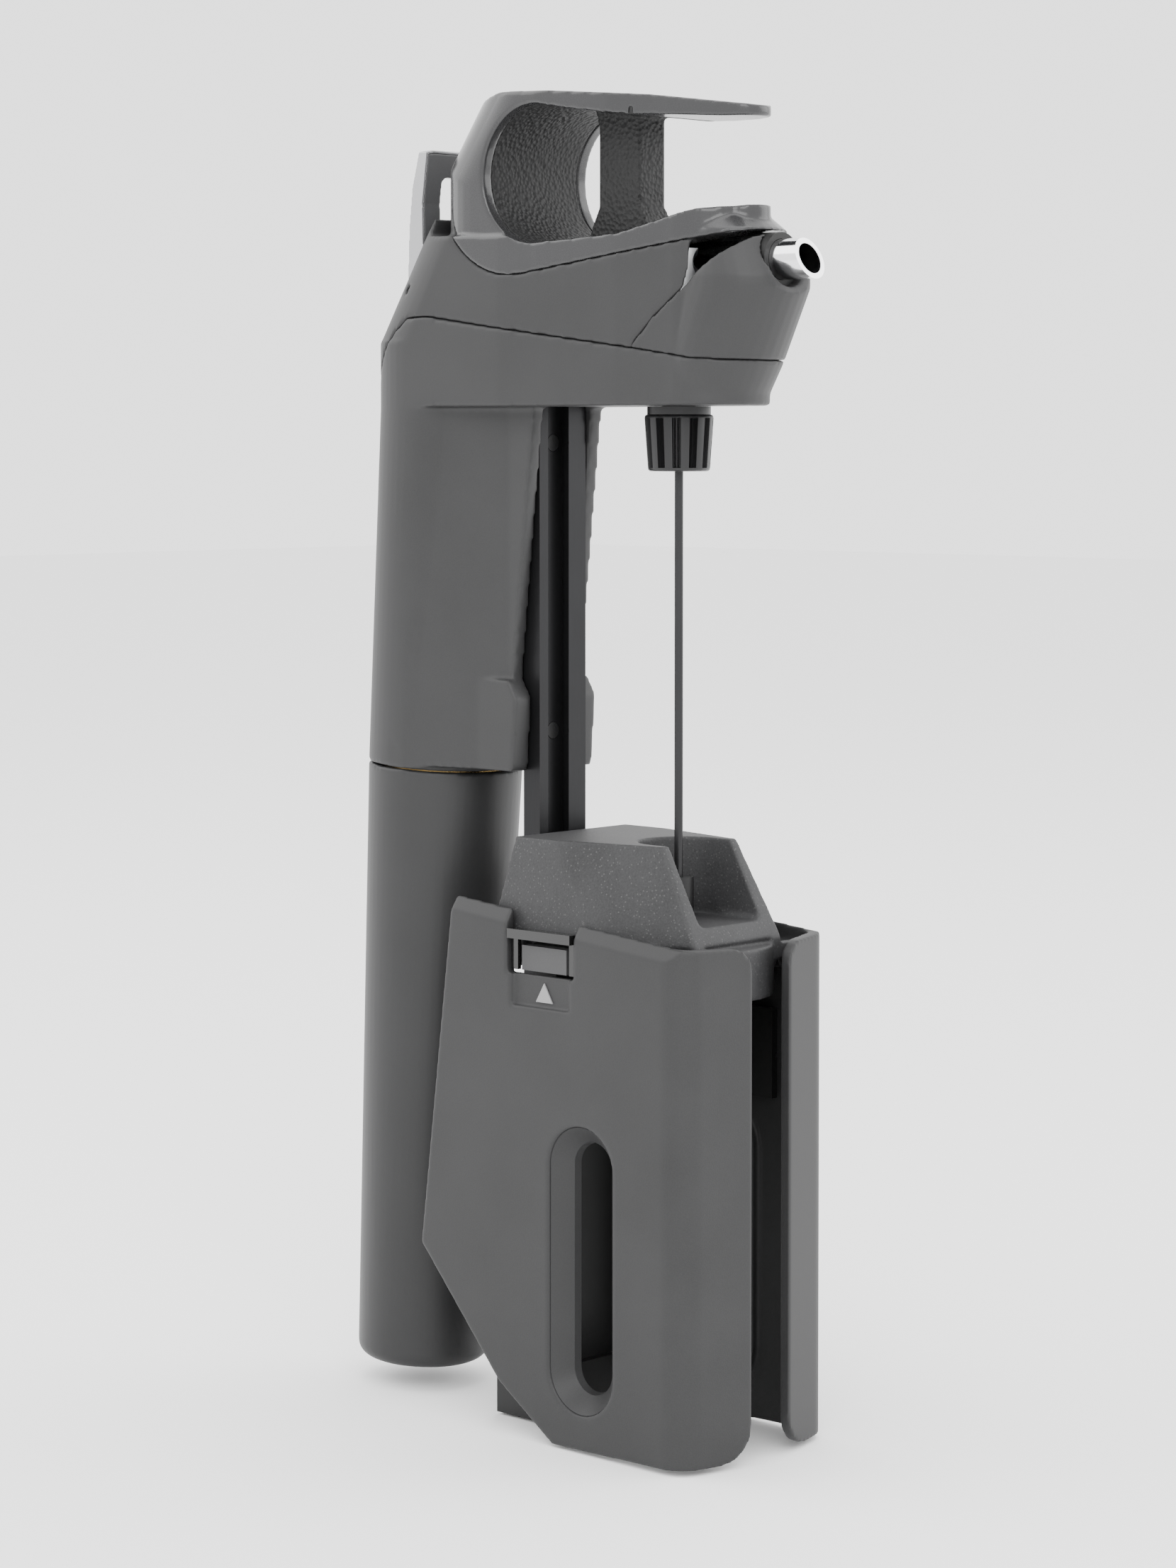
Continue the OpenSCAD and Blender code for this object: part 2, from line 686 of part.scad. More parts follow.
module trigger_pin() {
    color("silver") at_handle() translate([0, pivot_y, pivot_h])
        along_x(-trigger_half_width - 2.6, trigger_half_width + 2.6, pin_r);
}

// Needle assembly, which unscrews from the manifold
collar_h = 1.4;
grip_top = -0.1 - collar_h;
grip_bottom = grip_top - grip_height;
module needle_hub() {
    color("black") at_handle() difference() {
        union() {
            translate([0, 0, grip_top]) cylinder(h = collar_h, r = grip_r - 0.5);
            translate([0, 0, grip_top]) cylinder(h = 9 - grip_top, r = 3);
            translate([0, 0, grip_top - 6]) cylinder(h = 7, r = 2.5);
        }
        translate([0, 0, grip_bottom - 1]) cylinder(h = 40, r = needle_d / 2 + seat_gap);
    }
}
module needle_grip() {
    color("#303032") at_handle() difference() {
        union() {
            translate([0, 0, grip_bottom + 1.2]) cylinder(h = grip_height - 1.8, r1 = grip_r - 0.55, r2 = grip_r);
            translate([0, 0, grip_bottom]) cylinder(h = 1.2, r1 = grip_r - 1.5, r2 = grip_r - 0.55);
            translate([0, 0, grip_top - 0.6]) cylinder(h = 0.6, r1 = grip_r, r2 = grip_r - 0.5);
        }
        translate([0, 0, grip_top - 6 - gap]) cylinder(h = 10, r = 2.5 + seat_gap);
        translate([0, 0, grip_bottom - 1]) cylinder(h = 20, r = needle_d / 2 + seat_gap);
        for (i = [0:grip_flutes - 1]) rotate([0, 0, 360 * (i + 0.5) / grip_flutes])
            translate([grip_r + 0.25, 0, grip_bottom - 1]) cylinder(h = grip_height - 1, r = 0.65);
    }
}
module needle() {
    color("#4a4a4c") difference() {
        translate([0, 0, needle_tip_z]) cylinder(h = underside_z + 8 - needle_tip_z, r = needle_d / 2, $fn = 24);
        translate([0, 0, needle_tip_z + 3]) cylinder(h = underside_z + 20, r = needle_d / 2 - 0.25, $fn = 24);
        translate([0, 0, needle_tip_z + 4.5]) along_x(0, 3, 0.3);
        translate([0, 0, needle_tip_z]) rotate([0, -28, 0]) translate([-5, -5, -10]) cube([10, 10, 10]);
    }
}
module needle_seal() { color("black") at_handle() translate([0, 0, 9.8]) o_ring(2.1, 0.6); }

module cup_outline(outer_gap) {
    r_top = seam_r - outer_gap;
    r_bottom = cup_bottom_r - outer_gap;
    fillet = 2.4 - outer_gap;
    polygon(concat([[0, cup_top], [r_top, cup_top]],
        arc(r_bottom - fillet, cup_bottom + fillet + outer_gap, fillet, 0, -90, 8),
        [[0, cup_bottom + outer_gap]]));
}
module capsule_cup() {
    color("dimgray") at_cylinder() difference() {
        rotate_extrude() cup_outline(0);
        difference() {
            rotate_extrude() cup_outline(cup_wall);
            translate([0, 0, cup_bottom - 1]) cylinder(h = capsule_floor - cup_bottom + 1 - seat_gap, r = 7);
        }
        translate([0, 0, cup_top - eps]) cylinder(h = 1, r = seam_r - cup_wall);
    }
}
module cup_thread_ring() {
    color("goldenrod") at_cylinder() translate([0, 0, cup_top - 11])
        tube(10, seam_r - cup_wall - 0.2, thread_r + 0.2);
}
capsule_wall = 2;
module gas_capsule() {
    color("silver") at_cylinder() difference() {
        rotate_extrude() polygon(concat(
            [[0, capsule_floor]],
            arc(capsule_r - 4, capsule_floor + 4, 4, -90, 0, 8),
            arc(capsule_r - 5.5, capsule_top - 13, 5.5, 0, 90, 8),
            [[4, capsule_top - 7], [4, capsule_top], [0, capsule_top]]));
        translate([0, 0, capsule_top - 16]) cylinder(h = 20, r = 1.15);
        rotate_extrude() polygon(concat(
            [[0, capsule_floor + capsule_wall]],
            arc(capsule_r - 4, capsule_floor + 4, 4 - capsule_wall, -90, 0, 8),
            arc(capsule_r - 5.5, capsule_top - 13, 5.5 - capsule_wall, 0, 90, 8),
            [[0, capsule_top - 9.6]]));
    }
}

// Clamp
head_low = [[11.4, -14], [17, 4], [17, 20], [16.9, back_y + 1.7]];
head_high = [[9.7, -5], [14.4, 16], [14.4, back_y - 1.8]];
module outline(half) { polygon(concat(half, mirrored(half))); }
module clamp_head() {
    color("dimgray") difference() {
        union() {
            hull() {
                translate([0, 0, 3]) linear_extrude(eps) outline(head_low);
                translate([0, 0, head_top - 0.3]) linear_extrude(0.3) outline(head_high);
            }
            translate([0, 0, head_skirt]) linear_extrude(3 - head_skirt + eps)
                outline([[10.9, -13.4], [14.2, -6], [14.2, back_y - 2], [10, back_y]]);
            translate([0, 0, -socket_depth]) cylinder(h = socket_depth + ear_top, r = socket_r + 1.2, $fn = 96);
            for (side = [-1, 1]) on_side(side) hinge_ears();
        }
        translate([0, 0, -socket_depth - 1]) cylinder(h = socket_depth + 1, r = socket_r, $fn = 96);
        translate([0, 0, -1]) cylinder(h = 1 + seat_recess, r = seat_r + seat_gap);
        pocket();
        // room for the rail, the wings and the lugs
        translate([-lug_outer - 0.4, back_y, -20]) cube([2 * lug_outer + 0.8, 30, 60]);
        for (side = [-1, 1]) on_side(side)
            translate([-lug_outer - 0.4, back_y - 1.5, -20]) cube([lug_outer + 0.7 - wing_inner, 30, 60]);
        cylinder(h = 20, r = guide_r + seat_gap);
        for (side = [-1, 1]) on_side(side) {
            translate([-pin_x, 0, pin_z]) {
                along_y(-15, -6.7, hinge_pin_r + seat_gap);
                along_y(21.8, 31, hinge_pin_r + seat_gap);
            }
            for (y = [[-12.1, -8.5], [23.7, 28.3]])
                translate([-pin_x - 6, y[0], pin_z - 4]) cube([8.7, y[1] - y[0], 6.7]);
        }
        for (x = [-4.5, 4.5]) translate([x, back_y - 3, -10]) cylinder(h = 18, r = 0.9);
    }
}
module hinge_ears() {
    for (y = [[-14, -12.1], [-8.5, -6.8], [21.9, 23.7], [28.3, 30.6]])
        translate([0, y[0], 0]) {
            translate([-pin_x, 0, pin_z]) along_y(0, y[1] - y[0], ear_r);
            translate([-pin_x - ear_r, 0, pin_z]) cube([pin_x + ear_r - 9, y[1] - y[0], ear_top - pin_z]);
            translate([-ear_root, 0, pin_z]) cube([ear_root - 9, y[1] - y[0], 3 - pin_z + eps]);
        }
}
module pocket() {
    translate([0, 0, pocket_floor]) {
        translate([0, pocket_y, 0]) cylinder(h = 30, r = pocket_r);
        translate([-pocket_r, pocket_y - 30, 1.5]) cube([2 * pocket_r, 30, 30]);
        translate([-pocket_r + 1.5, pocket_y - 30, 0]) cube([2 * pocket_r - 3, 30, 30]);
        for (side = [-1, 1]) translate([side * (pocket_r - 1.5), pocket_y, 1.5]) along_y(-30, 0, 1.5);
    }
}
module backbone() {
    color("#2a2a2c") {
        difference() {
            union() {
                translate([-backbone_half_width, backbone_front, -jaw_drop + foot_height])
                    cube([2 * backbone_half_width, back_y - backbone_front, jaw_drop - foot_height + head_skirt]);
                intersection() {
                    rail_groove(slide_gap);
                    translate([-20, back_y - eps, -jaw_drop + foot_height])
                        cube([40, 20, jaw_drop - foot_height + head_top - 1.7]);
                }
                translate([groove_left + slide_gap, back_y - eps, -jaw_drop + foot_height])
                    cube([groove_right - groove_left - 2 * slide_gap, 0.4, jaw_drop - foot_height + head_top - 1.7]);
            }
            for (x = [-4.5, 4.5]) translate([x, back_y - 3, 0]) {
                translate([0, 0, -16]) cylinder(h = 20, r = 0.9);
                translate([0, 0, -30]) cylinder(h = 20, r = 1.7);
                translate([0, 0, -jaw_drop]) cylinder(h = 17, r = 0.9);
            }
            translate([0, back_y - 3, -30]) along_x(-12, 12, 1);
        }
    }
}
module foot_block() {
    color("#333335") difference() {
        translate([-10, backbone_front - 1.5, -jaw_drop]) cube([20, 14, foot_height - seat_gap]);
        translate([-rail_half_width - 0.3, back_y, -jaw_drop - 1])
            cube([2 * rail_half_width + 0.6, rail_depth + 0.6, foot_height + 2]);
        for (x = [-4.5, 4.5]) translate([x, back_y - 3, -jaw_drop - 1]) {
            cylinder(h = 20, r = 0.9);
            cylinder(h = 3, r = 1.8);
        }
    }
}
module clamp_screw(z0, z1) {
    for (x = [-4.5, 4.5]) translate([x, back_y - 3, z0]) {
        cylinder(h = z1 - z0, r = 0.85);
        cylinder(h = 1.6, r = 1.65);
    }
}
module clamp_screws() {
    color("silver") {
        clamp_screw(-11.7, 5);
        clamp_screw(-jaw_drop + 0.3, -jaw_drop + foot_height + 6);
    }
}
module needle_guide() {
    color("black") difference() {
        union() {
            translate([0, 0, seat_recess + 0.1]) cylinder(h = guide_top - seat_recess - 0.1, r = guide_r);
            translate([0, 0, pocket_floor]) cylinder(h = guide_top - pocket_floor, r = guide_r + 0.5);
        }
        cylinder(h = 20, r = needle_d / 2 + gap);
    }
}
module bottle_seat() {
    color("black") difference() {
        cylinder(h = seat_recess - seat_gap, r = seat_r);
        translate([0, 0, -1]) cylinder(h = 4, r = guide_r + 0.4);
    }
}
module hinge_pins(side) {
    color("silver") on_side(side) translate([-pin_x, 0, pin_z]) {
        along_y(-13.8, -7, hinge_pin_r);
        along_y(22, 30.4, hinge_pin_r);
    }
}
module jaw_spring(side) {
    wire = 0.5;
    color("silver") on_side(side) translate([-backbone_half_width - wire - gap, back_y - 3, -19])
        rotate([0, -90, 0]) coil(1.8, wire, jaw_inner - backbone_half_width - 2 * wire - 1.8, 5);
}
module latch_block(side) {
    color("gray") on_side(side) difference() {
        translate([-clamp_half_width + 1.3, notch_front + 2.6, -3.2])
            cube([5, notch_back - notch_front - 5.2, 4.4]);
        translate([0, 0, -10]) cylinder(h = 20, r = socket_r + 1.2 + seat_gap, $fn = 96);
        translate([-14.2 - seat_gap, 0, -10]) cube([28, 26, 20]);
    }
}

jaw_side = [[jaw_front - 3, jaw_top], [jaw_back_top, jaw_top + jaw_rise], [jaw_back_wide, -55],
    [rail_y - 2.6, -jaw_drop + 9], [12.4, -jaw_drop], [jaw_front - 3, -jaw_drop + 0.6]];
top_slope = atan(jaw_rise / (jaw_back_top - jaw_front + 3));
corner_x = clamp_half_width - 6;
corner_y = jaw_front + 6.8;
front_turn = 14;                 // how far the front face is turned, in degrees
module slot_form(grow) {
    r = slot_width / 2 + grow;
    low = -slot_bottom + slot_width / 2;
    high = -slot_bottom + slot_height - slot_width / 2;
    translate([0, slot_y, low]) along_x(-40, 0, r);
    translate([0, slot_y, high]) along_x(-40, 0, r);
    translate([-40, slot_y - r, low]) cube([40, 2 * r, high - low]);
}
module jaw_plan(inset) {
    r = 6 - inset;
    edge_y = corner_y - r / cos(front_turn) - (corner_x - front_gap) * tan(front_turn);
    polygon(concat(
        [[-clamp_half_width + inset, 60]],
        arc(-corner_x, corner_y, r, 180, 270 - front_turn, 10),
        [[-front_gap, edge_y]],
        inset > 0 ? [[0, edge_y - front_gap * tan(front_turn)], [0, 60]] : [[-front_gap, 60]]));
}
// What a rounded corner at the front flange's free edge leaves out; up is 1 at the top and -1 at the bottom
module edge_round(z, r, up) {
    translate([-front_gap, -12, z]) rotate([90, 0, 0]) linear_extrude(30) difference() {
        translate([-r, up > 0 ? -r : -1]) square(r + 1);
        translate([-r, -up * r]) circle(r);
    }
}
module jaw(side) {
    color("dimgray") on_side(side) difference() {
        union() {
            intersection() {
                side_slab(jaw_side, -clamp_half_width - 1, 0);
                difference() {
                    translate([0, 0, -jaw_drop]) linear_extrude(jaw_drop + 12) jaw_plan(0);
                    translate([0, 0, -jaw_drop - 1]) linear_extrude(jaw_drop + 14) jaw_plan(jaw_wall);
                }
            }
            // rim round the slot
            intersection() {
                slot_form(1.6);
                translate([-clamp_half_width, -50, -jaw_drop]) cube([jaw_wall + 1.5, 100, jaw_drop]);
            }
            for (y = [[-12, -8.6], [23.8, 28.2]]) translate([-pin_x, y[0], pin_z]) {
                along_y(0, y[1] - y[0], knuckle_r);
                translate([-clamp_half_width + pin_x, 0, -knuckle_r])
                    cube([clamp_half_width - pin_x, y[1] - y[0], 2 * knuckle_r]);
            }
        }
        slot_form(0);
        translate([-30, notch_front, notch_floor]) cube([30, notch_back - notch_front, 20]);
        // thumb recess below the notch
        translate([-30, notch_front + 1, recess_floor])
            cube([30 - clamp_half_width + 0.9, notch_back - notch_front - 2, 20]);
        edge_round(jaw_top + 0.3, 4, 1);
        edge_round(-jaw_drop + 0.6, 6, -1);
        // bevel along the top's outer edge
        translate([-clamp_half_width, jaw_front - 3, jaw_top - 2.4]) rotate([top_slope, 0, 0]) rotate([0, 33, 0])
            translate([-10, -10, -10]) cube([10, 90, 30]);
        translate([-pin_x, 0, pin_z]) along_y(-16, 33, hinge_pin_r + gap);
    }
}
module neck_pad(side) {
    color("black") on_side(side) difference() {
        translate([-jaw_inner, -8, -27]) cube([jaw_inner - socket_r - 0.4, 16, 16]);
        translate([-jaw_inner - 1, -9, -19.9]) cube([1.6, 18, 0.8]);
    }
}
module arrow(side) {
    x = -clamp_half_width + 0.9;
    color("lightgray") on_side(side)
        side_slab([[notch_front + 5.4, -8.4], [notch_front + 9.4, -8.4], [notch_front + 7.4, -5]], x - 0.25, x - eps);
}
module release_tab(side) {
    color("black") on_side(side) {
        translate([-clamp_half_width - 0.3, notch_front + 0.4, 2.4])
            cube([2.2, notch_back - notch_front - 0.8, 1.7]);
        for (y = [notch_front + 0.4, notch_back - 1.8])
            translate([-clamp_half_width + 1.1, y, notch_floor + 0.6]) cube([0.8, 1.4, 7]);
    }
}

lower_housing();
upper_housing();
nose_cover();
grip();
grip_liner();
rail();
rail_screws();
housing_screws();
threaded_neck();
regulator_body();
regulator_piston();
regulator_spring();
piercing_pin();
capsule_seal();
valve_body();
valve_spring();
valve_stem();
gas_tube();
manifold();
spout();
spout_seal();
trigger_pin();
trigger_frame();
trigger_cover();
needle_hub();
needle_grip();
needle();
needle_seal();
gas_capsule();
capsule_cup();
cup_thread_ring();
clamp_head();
backbone();
foot_block();
needle_guide();
bottle_seat();
clamp_screws();
hinge_pins(-1);  // hinge_pins_left
hinge_pins(1);  // hinge_pins_right
jaw_spring(-1);  // jaw_spring_left
jaw_spring(1);  // jaw_spring_right
latch_block(-1);  // latch_block_left
latch_block(1);  // latch_block_right
jaw(-1);  // jaw_left
jaw(1);  // jaw_right
neck_pad(-1);  // neck_pad_left
neck_pad(1);  // neck_pad_right
arrow(-1);  // arrow_left
arrow(1);  // arrow_right
release_tab(-1);  // release_tab_left
release_tab(1);  // release_tab_right
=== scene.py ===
import json
import math
import bpy
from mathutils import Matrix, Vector


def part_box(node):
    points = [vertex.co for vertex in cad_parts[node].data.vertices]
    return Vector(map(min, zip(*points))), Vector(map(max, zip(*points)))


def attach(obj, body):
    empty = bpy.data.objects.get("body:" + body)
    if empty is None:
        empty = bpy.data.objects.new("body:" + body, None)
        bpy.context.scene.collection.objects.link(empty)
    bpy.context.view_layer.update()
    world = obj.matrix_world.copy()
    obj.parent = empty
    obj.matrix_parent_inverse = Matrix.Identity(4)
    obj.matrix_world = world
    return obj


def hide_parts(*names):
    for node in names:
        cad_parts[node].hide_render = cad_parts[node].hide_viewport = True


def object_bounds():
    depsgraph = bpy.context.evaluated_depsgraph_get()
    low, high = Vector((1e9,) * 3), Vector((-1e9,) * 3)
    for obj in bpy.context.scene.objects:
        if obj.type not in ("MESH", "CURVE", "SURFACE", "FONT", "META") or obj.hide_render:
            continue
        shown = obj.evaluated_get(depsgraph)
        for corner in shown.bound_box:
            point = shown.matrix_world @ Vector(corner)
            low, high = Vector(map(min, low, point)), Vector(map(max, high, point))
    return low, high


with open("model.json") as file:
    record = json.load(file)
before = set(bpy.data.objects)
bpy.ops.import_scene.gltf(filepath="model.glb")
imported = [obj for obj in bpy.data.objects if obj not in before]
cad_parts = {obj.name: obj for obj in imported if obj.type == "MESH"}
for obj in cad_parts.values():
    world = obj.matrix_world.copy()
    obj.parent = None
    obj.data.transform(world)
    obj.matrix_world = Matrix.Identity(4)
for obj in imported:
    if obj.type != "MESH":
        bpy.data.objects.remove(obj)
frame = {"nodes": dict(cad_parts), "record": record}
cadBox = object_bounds()
nodes = frame["nodes"]
record = frame["record"]
bodyOf = {node: body for body, members in record["behaviour"]["bodies"].items() for node in members}
slotOf = {row["node"]: row["material_slot"] for row in record["subparts"]}
print("frame loaded")

# camera level with the needle, turned to the left jaw; the shift lifts the object in the frame
cameraSet = {"azimuth": -46.77, "pitch": 2.44, "lens": 85.44, "sensor": 36, "distance": 0.65154,
             "height": 0.09053, "aside": 0.01592, "shift": -0.12, "near": 0.01, "far": 20}


def addCamera(s):
    data = bpy.data.cameras.new("camera")
    data.lens = s["lens"]
    data.sensor_width = s["sensor"]
    data.shift_y = s["shift"]
    data.clip_start, data.clip_end = s["near"], s["far"]
    cam = bpy.data.objects.new("camera", data)
    bpy.context.scene.collection.objects.link(cam)
    a = math.radians(s["azimuth"])
    back = Vector((math.sin(a), -math.cos(a), 0))
    right = Vector((math.cos(a), math.sin(a), 0))
    cam.location = back * s["distance"] - right * s["aside"] + Vector((0, 0, s["height"]))
    cam.rotation_euler = (math.radians(90 - s["pitch"]), 0, a)
    bpy.context.scene.camera = cam


addCamera(cameraSet)
print("camera placed")

# grain sizes are in metres; lift is how strongly the grain shows
finishes = {
    "housing": {"color": (0.020, 0.020, 0.0205), "vary": 0.16, "rough": 0.50, "roughVary": 0.08,
                "grain": 0.00022, "lift": 0.16},
    "cup_shell": {"color": (0.017, 0.017, 0.0175), "vary": 0.14, "rough": 0.47, "roughVary": 0.07,
                  "grain": 0.00022, "lift": 0.14},
    "bezel": {"color": (0.022, 0.022, 0.023), "vary": 0.10, "rough": 0.27, "roughVary": 0.06,
              "grain": 0.00030, "lift": 0.05, "coat": 0.25},
    "liner": {"color": (0.010, 0.010, 0.0102), "vary": 0.25, "rough": 0.60, "roughVary": 0.12,
              "grain": 0.0008, "lift": 0.55, "pebble": True},
    "rail_black": {"color": (0.016, 0.016, 0.017), "vary": 0.10, "rough": 0.34, "roughVary": 0.08,
                   "grain": 0.00014, "lift": 0.05, "metal": 0.7, "brushed": True},
    "steel": {"color": (0.60, 0.60, 0.61), "vary": 0.06, "rough": 0.28, "roughVary": 0.10,
              "grain": 0.00012, "lift": 0.06, "metal": 1.0, "brushed": True},
    "spring_steel": {"color": (0.52, 0.52, 0.54), "vary": 0.08, "rough": 0.25, "roughVary": 0.08,
                     "grain": 0.00012, "lift": 0.04, "metal": 1.0},
    "brass_fitting": {"color": (0.72, 0.55, 0.28), "vary": 0.08, "rough": 0.26, "roughVary": 0.08,
                      "grain": 0.00015, "lift": 0.05, "metal": 1.0},
    "alloy": {"color": (0.66, 0.67, 0.68), "vary": 0.06, "rough": 0.30, "roughVary": 0.08,
              "grain": 0.00015, "lift": 0.05, "metal": 1.0},
    "copper_tube": {"color": (0.72, 0.42, 0.26), "vary": 0.10, "rough": 0.28, "roughVary": 0.08,
                    "grain": 0.00015, "lift": 0.04, "metal": 1.0},
    "spout_polish": {"color": (0.84, 0.84, 0.85), "vary": 0.03, "rough": 0.10, "roughVary": 0.05,
                     "grain": 0.0004, "lift": 0.02, "metal": 1.0},
    "seal": {"color": (0.008, 0.008, 0.008), "vary": 0.15, "rough": 0.55, "roughVary": 0.08,
             "grain": 0.0003, "lift": 0.10},
    "trigger_body": {"color": (0.060, 0.060, 0.062), "vary": 0.10, "rough": 0.42,
                     "roughVary": 0.06, "grain": 0.00025, "lift": 0.08},
    "trigger_silver": {"color": (0.40, 0.40, 0.41), "vary": 0.05, "rough": 0.30,
                       "roughVary": 0.06, "grain": 0.0002, "lift": 0.06, "metal": 0.75},
    "needle_black": {"color": (0.009, 0.009, 0.0095), "vary": 0.12, "rough": 0.36,
                     "roughVary": 0.08, "grain": 0.00025, "lift": 0.08},
    "needle_coat": {"color": (0.020, 0.020, 0.021), "vary": 0.12, "rough": 0.32,
                    "roughVary": 0.08, "grain": 0.0003, "lift": 0.05, "metal": 0.5},
    "capsule_steel": {"color": (0.62, 0.62, 0.64), "vary": 0.05, "rough": 0.24, "roughVary": 0.08,
                      "grain": 0.0002, "lift": 0.04, "metal": 1.0},
    "clamp_matte": {"color": (0.026, 0.026, 0.027), "vary": 0.40, "rough": 0.58,
                    "roughVary": 0.10, "grain": 0.00035, "lift": 0.30, "speck": 0.05},
    "jaw_matte": {"color": (0.019, 0.019, 0.0195), "vary": 0.20, "rough": 0.52, "roughVary": 0.08,
                  "grain": 0.00024, "lift": 0.18},
    "spine_black": {"color": (0.007, 0.007, 0.0073), "vary": 0.16, "rough": 0.44,
                    "roughVary": 0.08, "grain": 0.0003, "lift": 0.12},
    "tab_black": {"color": (0.006, 0.006, 0.006), "vary": 0.08, "rough": 0.16, "roughVary": 0.05,
                  "grain": 0.0005, "lift": 0.02, "coat": 0.5},
    "latch_grey": {"color": (0.045, 0.045, 0.046), "vary": 0.12, "rough": 0.45, "roughVary": 0.08,
                   "grain": 0.00025, "lift": 0.10},
    "arrow_grey": {"color": (0.22, 0.22, 0.22), "vary": 0.08, "rough": 0.50, "roughVary": 0.06,
                   "grain": 0.0002, "lift": 0.08},
}


# shared by every finish: patches are slow changes from handling, specks are pale flecks
texture = {"patchScale": 55, "patchDetail": 5, "grainDetail": 3, "grainShare": 0.45,
           "darkEnd": 0.32, "paleEnd": 0.68, "grainDepth": 0.35, "pebbleDepth": 0.6,
           "speckSize": 0.00075, "speckCore": 0.14, "speckRim": 0.24, "brushStretch": 0.04,
           "shine": 0.32, "coatRough": 0.12}


def addRamp(tree, factor, start, startColor, end, endColor):
    ramp = tree.nodes.new("ShaderNodeValToRGB")
    first, last = ramp.color_ramp.elements
    first.position, last.position = start, end
    first.color, last.color = (*startColor, 1), (*endColor, 1)
    tree.links.new(factor, ramp.inputs["Fac"])
    return ramp.outputs["Color"]


# returns the height of the fine grain, for the bump, and its mix with the slow patches
def addGrain(tree, where, s):
    place = tree.nodes.new("ShaderNodeMapping")
    if s.get("brushed"):  # drawn along the object's height
        place.inputs["Scale"].default_value = (1, 1, texture["brushStretch"])
    tree.links.new(where, place.inputs["Vector"])
    grain = tree.nodes.new("ShaderNodeTexVoronoi" if s.get("pebble") else "ShaderNodeTexNoise")
    grain.inputs["Scale"].default_value = 1 / s["grain"]
    if not s.get("pebble"):
        grain.inputs["Detail"].default_value = texture["grainDetail"]
    tree.links.new(place.outputs["Vector"], grain.inputs["Vector"])
    height = grain.outputs["Distance" if s.get("pebble") else "Fac"]
    patches = tree.nodes.new("ShaderNodeTexNoise")
    patches.inputs["Scale"].default_value = texture["patchScale"]
    patches.inputs["Detail"].default_value = texture["patchDetail"]
    tree.links.new(where, patches.inputs["Vector"])
    mixed = tree.nodes.new("ShaderNodeMix")
    mixed.data_type = "FLOAT"
    mixed.inputs["Factor"].default_value = texture["grainShare"]
    tree.links.new(patches.outputs["Fac"], mixed.inputs["A"])
    tree.links.new(height, mixed.inputs["B"])
    return height, mixed.outputs["Result"]


def addSpecks(tree, where, color, speck):
    dots = tree.nodes.new("ShaderNodeTexVoronoi")
    dots.inputs["Scale"].default_value = 1 / texture["speckSize"]
    tree.links.new(where, dots.inputs["Vector"])
    cover = addRamp(tree, dots.outputs["Distance"], texture["speckCore"], (1, 1, 1),
                    texture["speckRim"], (0, 0, 0))
    speckled = tree.nodes.new("ShaderNodeMix")
    speckled.data_type = "RGBA"
    speckled.inputs["B"].default_value = (speck, speck, speck, 1)
    tree.links.new(cover, speckled.inputs["Factor"])
    tree.links.new(color, speckled.inputs["A"])
    return speckled.outputs["Result"]


def makeFinish(name, s):
    mat = bpy.data.materials.new(name)
    mat.use_nodes = True
    tree = mat.node_tree
    shader = tree.nodes["Principled BSDF"]
    where = tree.nodes.new("ShaderNodeTexCoord").outputs["Object"]
    height, mixed = addGrain(tree, where, s)
    dark = [c * (1 - s["vary"]) for c in s["color"]]
    pale = [min(1, c * (1 + s["vary"])) for c in s["color"]]
    color = addRamp(tree, mixed, texture["darkEnd"], dark, texture["paleEnd"], pale)
    if s.get("speck"):
        color = addSpecks(tree, where, color, s["speck"])
    tree.links.new(color, shader.inputs["Base Color"])
    span = tree.nodes.new("ShaderNodeMapRange")
    span.inputs["To Min"].default_value = s["rough"] - s["roughVary"]
    span.inputs["To Max"].default_value = s["rough"] + s["roughVary"]
    tree.links.new(mixed, span.inputs["Value"])
    tree.links.new(span.outputs["Result"], shader.inputs["Roughness"])
    bump = tree.nodes.new("ShaderNodeBump")
    bump.inputs["Strength"].default_value = s["lift"]
    depth = texture["pebbleDepth"] if s.get("pebble") else texture["grainDepth"]
    bump.inputs["Distance"].default_value = s["grain"] * depth
    tree.links.new(height, bump.inputs["Height"])
    tree.links.new(bump.outputs["Normal"], shader.inputs["Normal"])
    shader.inputs["Metallic"].default_value = s.get("metal", 0)
    shader.inputs["Specular IOR Level"].default_value = texture["shine"]
    if s.get("coat"):
        shader.inputs["Coat Weight"].default_value = s["coat"]
        shader.inputs["Coat Roughness"].default_value = texture["coatRough"]
    return mat


finishOf = {name: makeFinish(name, s) for name, s in finishes.items()}
for name, obj in nodes.items():
    obj.data.materials.clear()
    obj.data.materials.append(finishOf[slotOf[name]])
print("finishes made")


def deselectAll():
    if bpy.context.object and bpy.context.object.mode != "OBJECT":
        bpy.ops.object.mode_set(mode="OBJECT")
    bpy.ops.object.select_all(action="DESELECT")


def pickOnly(obj):
    deselectAll()
    obj.select_set(True)
    bpy.context.view_layer.objects.active = obj


def standFor(piece, node):
    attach(piece, bodyOf[node])
    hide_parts(node)
    piece.data.materials.clear()
    piece.data.materials.append(finishOf[slotOf[node]])


def applyModifier(piece, kind, **values):
    modifier = piece.modifiers.new(kind, kind)
    for key, value in values.items():
        setattr(modifier, key, value)
    bpy.ops.object.modifier_apply(modifier=modifier.name)


# a moulded piece keeps its node's walls and gets soft edges all round
# cell is the size of the remesh, rounds how often it is smoothed, keep the share of faces left
mould = {"weld": 0.000002, "smoothing": 0.5}


